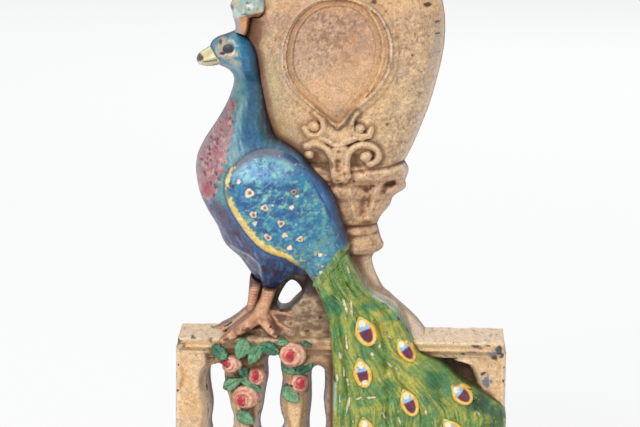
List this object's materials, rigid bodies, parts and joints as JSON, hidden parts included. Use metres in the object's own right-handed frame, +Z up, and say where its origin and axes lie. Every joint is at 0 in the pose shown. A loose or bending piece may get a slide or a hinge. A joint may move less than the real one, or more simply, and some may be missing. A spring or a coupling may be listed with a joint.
{
  "type": "figural door stop",
  "caption": "Free-standing cast-iron relief door stop: a peacock with a long train before an urn on a balustrade, on a moulded base.",
  "frame": {"origin": "centre of the base's floor face", "axes": "+Z up; the worked front faces -Y; +X is to the right seen from the front; the relief rises towards -Y from the parting plane at y = +2 mm"},
  "size_m": [0.112, 0.0511, 0.19],
  "materials": {
    "stone_paint": "worn satin enamel, stone tan with a fine speckle",
    "peacock_paint": "worn gloss enamel, deep teal blue with maroon on the breast",
    "wing_paint": "worn gloss enamel, mottled blue with cream flecks and a yellow edge",
    "beak_paint": "satin enamel, pale yellow",
    "crest_paint": "satin enamel, pale blue-green",
    "leg_paint": "satin enamel, salmon brown",
    "train_paint": "worn gloss enamel, yellow-green feather strokes",
    "eye_spot_paint": "gloss enamel eye spots, yellow ring, maroon and light blue centre",
    "rose_paint": "satin enamel, peach pink with red hearts",
    "leaf_paint": "satin enamel, two greens",
    "bumper_rubber": "matt black rubber"
  },
  "bodies": {
    "root": {"base_plinth": "stone_paint", "bottom_rail": "stone_paint", "coping_left": "stone_paint", "coping_right": "stone_paint", "left_post": "stone_paint", "right_post": "stone_paint", "baluster_1": "stone_paint", "baluster_2": "stone_paint", "baluster_3": "stone_paint", "urn_foot": "stone_paint", "urn_collar": "stone_paint", "urn_cup": "stone_paint", "urn_shelf": "stone_paint", "urn_body": "stone_paint", "urn_rim": "stone_paint", "urn_medallion": "stone_paint", "urn_scrolls": "stone_paint", "peacock_body": "peacock_paint", "peacock_wing": "wing_paint", "beak": "beak_paint", "crest": "crest_paint", "near_leg": "leg_paint", "far_leg": "leg_paint", "train": "train_paint", "train_eyes": "eye_spot_paint", "rose_1": "rose_paint", "rose_2": "rose_paint", "rose_3": "rose_paint", "rose_4": "rose_paint", "rose_5": "rose_paint", "rose_leaves": "leaf_paint", "bumper_left": "bumper_rubber", "bumper_right": "bumper_rubber"}
  },
  "joints": []
}
